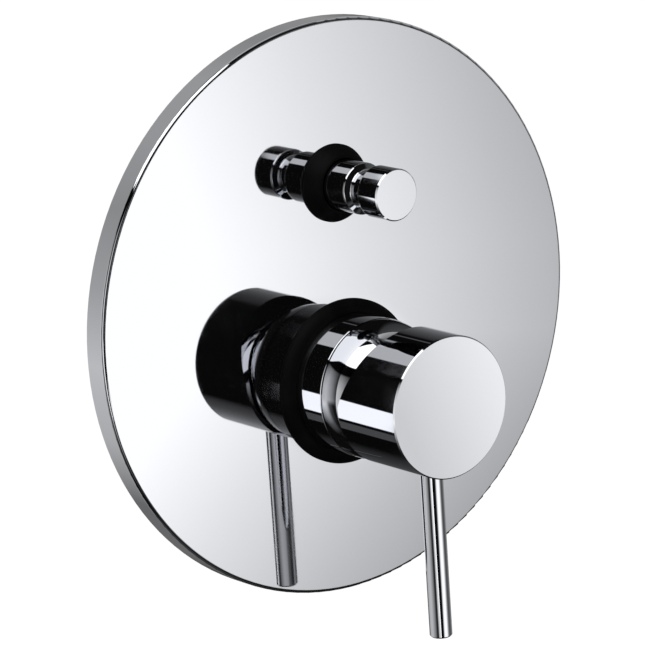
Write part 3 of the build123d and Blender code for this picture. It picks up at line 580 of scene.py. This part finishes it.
# places are pairs of a point and the way the coil runs from it
def makeCoils(name, places, values):
    points = bpy.data.meshes.new(name + "Places")
    points.from_pydata([point for point, way in places], [], [])
    facing = points.attributes.new("facing", "FLOAT_VECTOR", "POINT")
    for slot, (point, way) in zip(facing.data, places):
        slot.vector = way
    base = bpy.data.objects.new(name + "Places", points)
    scene.collection.objects.link(base)
    growth = base.modifiers.new("coils", "NODES")
    growth.node_group = coils
    for item in coils.interface.items_tree:
        if item.name in values:
            growth[item.identifier] = values[item.name]
    grown = base.evaluated_get(bpy.context.evaluated_depsgraph_get())
    mesh = bpy.data.meshes.new_from_object(grown)
    bpy.data.objects.remove(base)
    mesh.name = name
    piece = bpy.data.objects.new(name, mesh)
    scene.collection.objects.link(piece)
    return piece


# threads in the four ports: pipe thread of 14 turns to the inch, stopped short of the mouth
threadPlan = {"pitch": 0.001814, "turns": 6.0, "ridge": 0.00055, "mouth": 0.0014, "sides": 4, "steps": 48}


def makeThreads():
    plan = threadPlan
    length = plan["pitch"] * plan["turns"]
    inward = plan["mouth"] + length
    places = [(port["mouth"] - port["way"] * inward, port["way"]) for port in ports]
    threads = makeCoils("portThreads", places, {
        "Turns": plan["turns"],
        "Length": length,
        "Radius": ports[0]["radius"],
        "Section": plan["ridge"],
        "Sides": plan["sides"],
        "Steps": plan["steps"],
        "Material": castBrass,
    })
    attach(threads, "fixed")


makeThreads()

# return spring: round wire, in place of the model's spring
springPlan = {"wireRadius": 0.00045, "turns": 7.0, "sides": 14, "steps": 40}


def makeSpring():
    plan = springPlan
    low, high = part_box("diverter_spring")
    middle = (low + high) / 2
    wire = plan["wireRadius"]
    start = Vector((middle.x, low.y + wire, middle.z))
    spring = makeCoils("springCoil", [(start, Vector((0, 1, 0)))], {
        "Turns": plan["turns"],
        "Length": high.y - low.y - wire * 2,
        "Radius": (high.x - low.x) / 2 - wire,
        "Section": wire,
        "Sides": plan["sides"],
        "Steps": plan["steps"],
        "Material": steel,
    })
    spring.data.polygons.foreach_set("use_smooth", [True] * len(spring.data.polygons))
    pull = next(joint for joint in frame["joints"] if joint["name"] == "diverter_pull")
    draw = pull["range_m"][1]
    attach(spring, "fixed")
    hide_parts("diverter_spring")
    1 - draw / (high.y - low.y)
    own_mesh(spring)


makeSpring()
print("threads and spring done")

# studio: a light tent that only reflections see, painted by direction. Its tones are fitted to the
# photograph: 0 to 255, as they show in the chrome. Sides and heights are degrees, 0 straight in front.
tentPlan = {
    "radius": 1.0,
    "segments": 96,
    "rings": 48,
    "mirror": 0.605,  # what one bounce off the chrome keeps
    "room": 16,  # the tone where nothing hangs
}

# how a tone on the screen grows with light
screenCurve = {"white": 255, "knee": 0.04, "slope": 12.92, "lift": 0.055, "power": 2.4}


# the light that shows as this tone after one bounce
def light(tone):
    curve = screenCurve
    share = tone / curve["white"]
    if share < curve["knee"]:
        return share / curve["slope"] / tentPlan["mirror"]
    return ((share + curve["lift"]) / (1 + curve["lift"])) ** curve["power"] / tentPlan["mirror"]


# the light that shows as this tone after two bounces
def twice(tone):
    return light(tone) / tentPlan["mirror"]


# the tent's cloth: directions in degrees, and a tone that is painted over, coat by coat
class Cloth(Finish):
    def __init__(self, name):
        super().__init__(name)
        x, self.back, z = self.axes(self.unit(self.place()))
        ahead = self.back * -1.0
        degree = 360 / tau
        self.side = self.math("ARCTAN2", x, ahead) * degree
        self.height = self.math("ARCSINE", z) * degree
        self.cone = self.math("ARCCOSINE", ahead) * degree  # 0 is straight in front
        self.clock = self.math("FRACT", self.math("ARCTAN2", z, x) / tau) * 360  # 0 is right, 90 is up
        self.tone = light(tentPlan["room"])

    def paint(self, mask, level):
        self.tone = mixed(self.tone, mask, level)

    def ramp(self, value, stops, level=light):
        low = stops[0][0]
        span = stops[-1][0] - low
        scaled = [((place - low) / span, level(tone)) for place, tone in stops]
        return self.node("ShaderNodeValToRGB", {"stops": scaled}, {0: (value - low) / span})

    def above(self, value, edge, soft):
        return self.ease(value - edge, -soft, soft)

    def band(self, value, ends, soft):
        return self.above(value, ends[0], soft) * (1 - self.above(value, ends[1], soft))


# walls and floor of the tent, the walls by side or by height
wallPlan = {
    "rightStart": (46, 54),
    "right": [(50, 60), (68, 77), (92, 100), (124, 171), (150, 178), (180, 160)],
    "frontReach": (9, 16),
    "frontSlope": 0.7,
    "front": [(-10, 112), (10, 58)],  # dims to the lower right
    "leftEnd": (-35, -31),
    "left": [
        (-50, 18), (-38, 70), (-25, 140), (-10, 203), (5, 196), (16, 172), (26, 120), (28.5, 8), (42, 8),
    ],
    # the left wall hangs in sheets: by side, the share of it that shows below the low edge and above it
    "lowEdge": (-17, -9),
    "lowSheets": [
        (-180, 0.8), (-150, 1.1), (-127, 1.5), (-113, 1.3), (-100, 0.92), (-89, 0.65), (-78, 0.24),
        (-71, 0.03), (-65, 0.03), (-57, 0.3), (-51, 1.8), (-46, 2.1), (-39, 1.4), (-33, 0.2), (-29, 0.0),
    ],
    "highSheets": [
        (-180, 0.8), (-150, 1.05), (-112, 1.0), (-98, 0.7), (-88, 0.3), (-80, 0.06),
        (-72, 0.1), (-64, 0.6), (-52, 1.25), (-44, 1.1), (-37, 0.25), (-31, 0.0),
    ],
    "floorEdge": (-66, -58),
    "floor": 48,
}


def paintWalls(cloth):
    plan = wallPlan
    side = cloth.side
    height = cloth.height
    cloth.paint(cloth.ease(side, *plan["rightStart"]), cloth.ramp(side, plan["right"]))
    front = cloth.ramp((side - height) * plan["frontSlope"], plan["front"])
    cloth.paint(1 - cloth.ease(cloth.cone, *plan["frontReach"]), front)
    low = cloth.ramp(side, plan["lowSheets"], float)
    high = cloth.ramp(side, plan["highSheets"], float)
    sheets = mixed(low, cloth.ease(height, *plan["lowEdge"]), high)
    cloth.paint(1 - cloth.ease(side, *plan["leftEnd"]), cloth.ramp(height, plan["left"]) * sheets)
    cloth.paint(1 - cloth.ease(height, *plan["floorEdge"]), light(plan["floor"]))


# the round sides see a ring about the front, by the clock
ringPlan = {
    "inner": 29.0,
    "innerSoft": 0.3,
    "start": 39.55,
    "startSway": 1.05,
    "startSoft": 0.2,
    "end": 43.25,
    "endSway": 0.9,
    "endSoft": 0.25,
    "swayClock": 265,
    "boxSoft": 0.7,
    # start, end and tone
    "boxes": {
        "greyBox": (83, 111, 167),
        "whiteBox": (191, 221, 246),
        "lowStrip": (226, 238, 67),
        "thinStrip": (53, 55.5, 70),
    },
    "fill": [
        (0, 103), (24, 74), (44, 44), (48, 8), (262, 7),
        (276, 36), (300, 52), (320, 62), (342, 119), (360, 103),
    ],
    "innerFill": [
        (0, 90), (15, 78), (30, 62), (45, 46), (58, 36), (68, 12), (85, 7), (245, 7),
        (255, 45), (270, 62), (285, 85), (300, 110), (330, 100), (360, 90),
    ],
}


# paints the ring and returns its outer edge
def paintRing(cloth):
    plan = ringPlan
    cone = cloth.cone
    clock = cloth.clock
    sway = cloth.math("COSINE", (clock - plan["swayClock"]) * radians(1))
    start = plan["start"] + sway * plan["startSway"]
    end = plan["end"] + sway * plan["endSway"]
    inner = cloth.above(cone, plan["inner"], plan["innerSoft"])
    inner = inner * (1 - cloth.above(cone, end, plan["innerSoft"]))
    cloth.paint(inner, cloth.ramp(clock, plan["innerFill"], twice))
    fill = cloth.ramp(clock, plan["fill"], twice)
    for first, last, tone in plan["boxes"].values():
        fill = mixed(fill, cloth.band(clock, (first, last), plan["boxSoft"]), twice(tone))
    ring = cloth.above(cone, start, plan["startSoft"]) * (1 - cloth.above(cone, end, plan["endSoft"]))
    cloth.paint(ring, fill)
    return end


# a bright box overhead, outside the ring, whose lower edge rises to the left
overheadPlan = {
    "edge": [(-71, 42.4), (-60, 41.6), (-52, 39.6), (-44, 35), (-36, 30)],
    "edgeSoft": 0.6,
    "sides": (-128, 8),
    "sideSoft": 1.5,
    "tone": 228,
}


def paintOverhead(cloth, ringEnd):
    plan = overheadPlan
    edge = cloth.ramp(cloth.side, plan["edge"], float)
    mask = cloth.above(cloth.height, edge, plan["edgeSoft"])
    mask = mask * cloth.band(cloth.side, plan["sides"], plan["sideSoft"])
    mask = mask * cloth.above(cloth.cone, ringEnd, ringPlan["endSoft"])
    cloth.paint(mask, twice(plan["tone"]))


# the window that the plate mirrors: a dark corner at its lower right, two panes, and a round glow that the
# handle's end mirrors
windowPlan = {
    "tones": [
        (-9, 12), (-3, 80), (4, 200), (12, 254), (33, 255), (37.8, 225), (43.2, 190), (50, 140), (58, 90),
    ],
    "panes": [((25, 56), (-27, -1)), ((-8, 26), (-27, -16.5))],  # sides and heights
    "paneSoft": 1.5,
    # the tones move along by this much for each degree below one height and above another
    "fallHeight": -14.5,
    "fallRate": 0.93,
    "riseHeight": -11.7,
    "riseRate": 0.27,
    "corner": {"side": 44, "height": -27, "soft": 4, "tone": 26},
    "glow": {
        "side": 37.0,
        "height": -15.8,
        "reach": 2.6,
        "soft": 0.3,
        "slope": 0.35,
        "tones": [(-1.9, 202), (1.9, 237)],
    },
}


def paintWindow(cloth):
    plan = windowPlan
    side = cloth.side
    height = cloth.height
    corner = plan["corner"]
    mask = cloth.above(side, corner["side"], corner["soft"])
    mask = mask * (1 - cloth.above(height, corner["height"], corner["soft"]))
    cloth.paint(mask, light(corner["tone"]))
    fall = cloth.math("MAXIMUM", plan["fallHeight"] - height, 0.0) * plan["fallRate"]
    rise = cloth.math("MAXIMUM", height - plan["riseHeight"], 0.0) * plan["riseRate"]
    window = cloth.ramp(side + fall + rise, plan["tones"])
    for sides, heights in plan["panes"]:
        pane = cloth.band(side, sides, plan["paneSoft"]) * cloth.band(height, heights, plan["paneSoft"])
        cloth.paint(pane, window)
    glow = plan["glow"]
    across = side - glow["side"]
    up = height - glow["height"]
    away = (across * across + up * up) ** 0.5
    glowTone = cloth.ramp(across + up * glow["slope"], glow["tones"])
    cloth.paint(1 - cloth.above(away, glow["reach"], glow["soft"]), glowTone)


# behind the plate, by the clock
rearPlan = {
    "start": (0.35, 0.6),  # as a share of straight back
    "tones": [
        (0, 80), (22, 126), (52, 125), (82, 147), (112, 147), (142, 136), (172, 153), (202, 184),
        (232, 166), (262, 97), (292, 92), (322, 45), (345, 40), (360, 80),
    ],
}


def paintRear(cloth):
    cloth.paint(cloth.ease(cloth.back, *rearPlan["start"]), cloth.ramp(cloth.clock, rearPlan["tones"]))


def makeTent():
    plan = tentPlan
    cloth = Cloth("tentCloth")
    paintWalls(cloth)
    ringEnd = paintRing(cloth)
    paintOverhead(cloth, ringEnd)
    paintWindow(cloth)
    paintRear(cloth)
    glow = cloth.node("ShaderNodeEmission", sockets={"Color": cloth.tone, "Strength": 1.0})
    cloth.node("ShaderNodeOutputMaterial", sockets={"Surface": glow})
    shape = bmesh.new()
    bmesh.ops.create_uvsphere(
        shape, u_segments=plan["segments"], v_segments=plan["rings"], radius=plan["radius"]
    )
    mesh = bpy.data.meshes.new("lightTent")
    shape.to_mesh(mesh)
    shape.free()
    mesh.materials.append(cloth.owner)
    tent = bpy.data.objects.new("lightTent", mesh)
    scene.collection.objects.link(tent)
    tent.visible_camera = tent.visible_diffuse = tent.visible_shadow = False


makeTent()

# pale floor, lifted to white for the camera
floorPlan = {"size": 30.0, "drop": 1.05, "colour": (0.86, 0.86, 0.86, 1), "lift": 0.36}


def makeFloor():
    plan = floorPlan
    finish = Finish("paleFloor")
    rays = finish.node("ShaderNodeLightPath", out="Is Camera Ray")
    matte = finish.node("ShaderNodeBsdfDiffuse", sockets={"Color": plan["colour"]})
    glow = finish.node("ShaderNodeEmission", sockets={"Color": rays * plan["lift"], "Strength": 1.0})
    both = finish.node("ShaderNodeAddShader", sockets={0: matte, 1: glow})
    finish.node("ShaderNodeOutputMaterial", sockets={"Surface": both})
    half = plan["size"] / 2
    corners = [(-half, -half), (half, -half), (half, half), (-half, half)]
    mesh = bpy.data.meshes.new("floor")
    mesh.from_pydata([(x, y, -plan["drop"]) for x, y in corners], [], [(0, 1, 2, 3)])
    mesh.materials.append(finish.owner)
    floor = bpy.data.objects.new("floor", mesh)
    scene.collection.objects.link(floor)


makeFloor()

# air: white to the camera, and dimmer as fill light
skyPlan = {"level": 0.75}


def makeSky():
    sky = bpy.data.worlds.new("studioAir")
    scene.world = sky
    finish = Finish("studioAir", sky)
    rays = finish.node("ShaderNodeLightPath", out="Is Camera Ray")
    seen = rays + rays.sibling("Is Glossy Ray") + rays.sibling("Is Transmission Ray")
    seen = finish.node("ShaderNodeClamp", sockets={"Value": seen})
    strength = skyPlan["level"] + seen * (1 - skyPlan["level"])
    glow = finish.node("ShaderNodeBackground", sockets={"Color": (1, 1, 1, 1), "Strength": strength})
    finish.node("ShaderNodeOutputWorld", sockets={"Surface": glow})


makeSky()

# soft lamps that the chrome doesn't mirror, for the rubber and the brass
lampPlan = {
    "keyLamp": {"side": -55, "height": 45, "distance": 1.6, "size": 0.9, "power": 9.0},
    "rearLamp": {"side": 160, "height": 40, "distance": 1.8, "size": 1.2, "power": 9.0},
}


# the way to a side and a height, from the origin
def toward(side, height):
    turn = radians(side)
    rise = radians(height)
    return Vector((sin(turn) * cos(rise), -cos(turn) * cos(rise), sin(rise)))


def makeLamp(name, plan):
    data = bpy.data.lights.new(name, "AREA")
    data.energy = plan["power"]
    data.size = plan["size"]
    lamp = bpy.data.objects.new(name, data)
    away = toward(plan["side"], plan["height"])
    lamp.location = away * plan["distance"]
    lamp.rotation_euler = away.to_track_quat("Z", "Y").to_euler()
    lamp.visible_glossy = lamp.visible_camera = False
    scene.collection.objects.link(lamp)


for name, plan in lampPlan.items():
    makeLamp(name, plan)
print("studio done")

# camera, placed by the photograph: where it stands, in degrees and metres, and its focal length and the place
# of the origin, in pixels of a picture 647 wide
cameraPlan = {
    "side": -37.134,
    "height": 13.513,
    "roll": -3.802,
    "distance": 1.188,
    "sensor": 36.0,
    "focal": 3828.2,
    "picture": 647,
    "originPixel": (326.504, 303.814),
}


def makeCamera():
    plan = cameraPlan
    data = bpy.data.cameras.new("camera")
    data.sensor_width = plan["sensor"]
    data.lens = plan["focal"] / plan["picture"] * plan["sensor"]
    back = toward(plan["side"], plan["height"])
    right = Vector((cos(radians(plan["side"])), sin(radians(plan["side"])), 0))
    axes = Matrix((right, back.cross(right), back)).transposed()
    middle = plan["picture"] / 2
    pan = atan((plan["originPixel"][0] - middle) / plan["focal"])
    tilt = atan((plan["originPixel"][1] - middle) / plan["focal"])
    roll = Matrix.Rotation(radians(plan["roll"]), 3, "Z")
    turn = roll @ Matrix.Rotation(pan, 3, "Y") @ Matrix.Rotation(tilt, 3, "X")
    camera = bpy.data.objects.new("camera", data)
    camera.matrix_world = Matrix.Translation(back * plan["distance"]) @ (axes @ turn).to_4x4()
    scene.collection.objects.link(camera)
    scene.camera = camera


makeCamera()
print("camera done")
